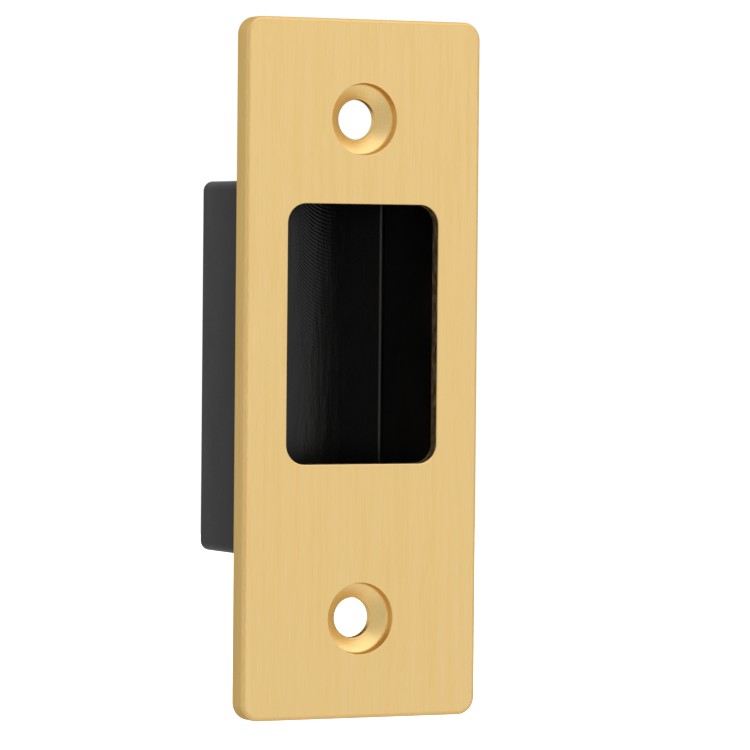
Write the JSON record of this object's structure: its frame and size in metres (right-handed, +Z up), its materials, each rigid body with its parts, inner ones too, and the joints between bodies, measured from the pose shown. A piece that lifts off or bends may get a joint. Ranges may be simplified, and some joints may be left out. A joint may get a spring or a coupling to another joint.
{
  "type": "strike plate",
  "caption": "Flat brass strike plate with two countersunk fixing holes and a black dust box that takes a mortice or sliding-door bolt.",
  "frame": {"origin": "centre of the plate's rear face, in the plane that seats on the jamb", "axes": "+Z up the plate towards the window's end, +X to the right seen from the front, +Y into the jamb, so the brass face looks along -Y"},
  "size_m": [0.026, 0.0158, 0.07],
  "materials": {
    "satin_brass": "satin, fine vertical brushing",
    "black_box": "satin black, faint tool marks on the pocket floor"
  },
  "bodies": {
    "root": {"strike_plate": "satin_brass", "dust_box": "black_box"}
  },
  "joints": []
}
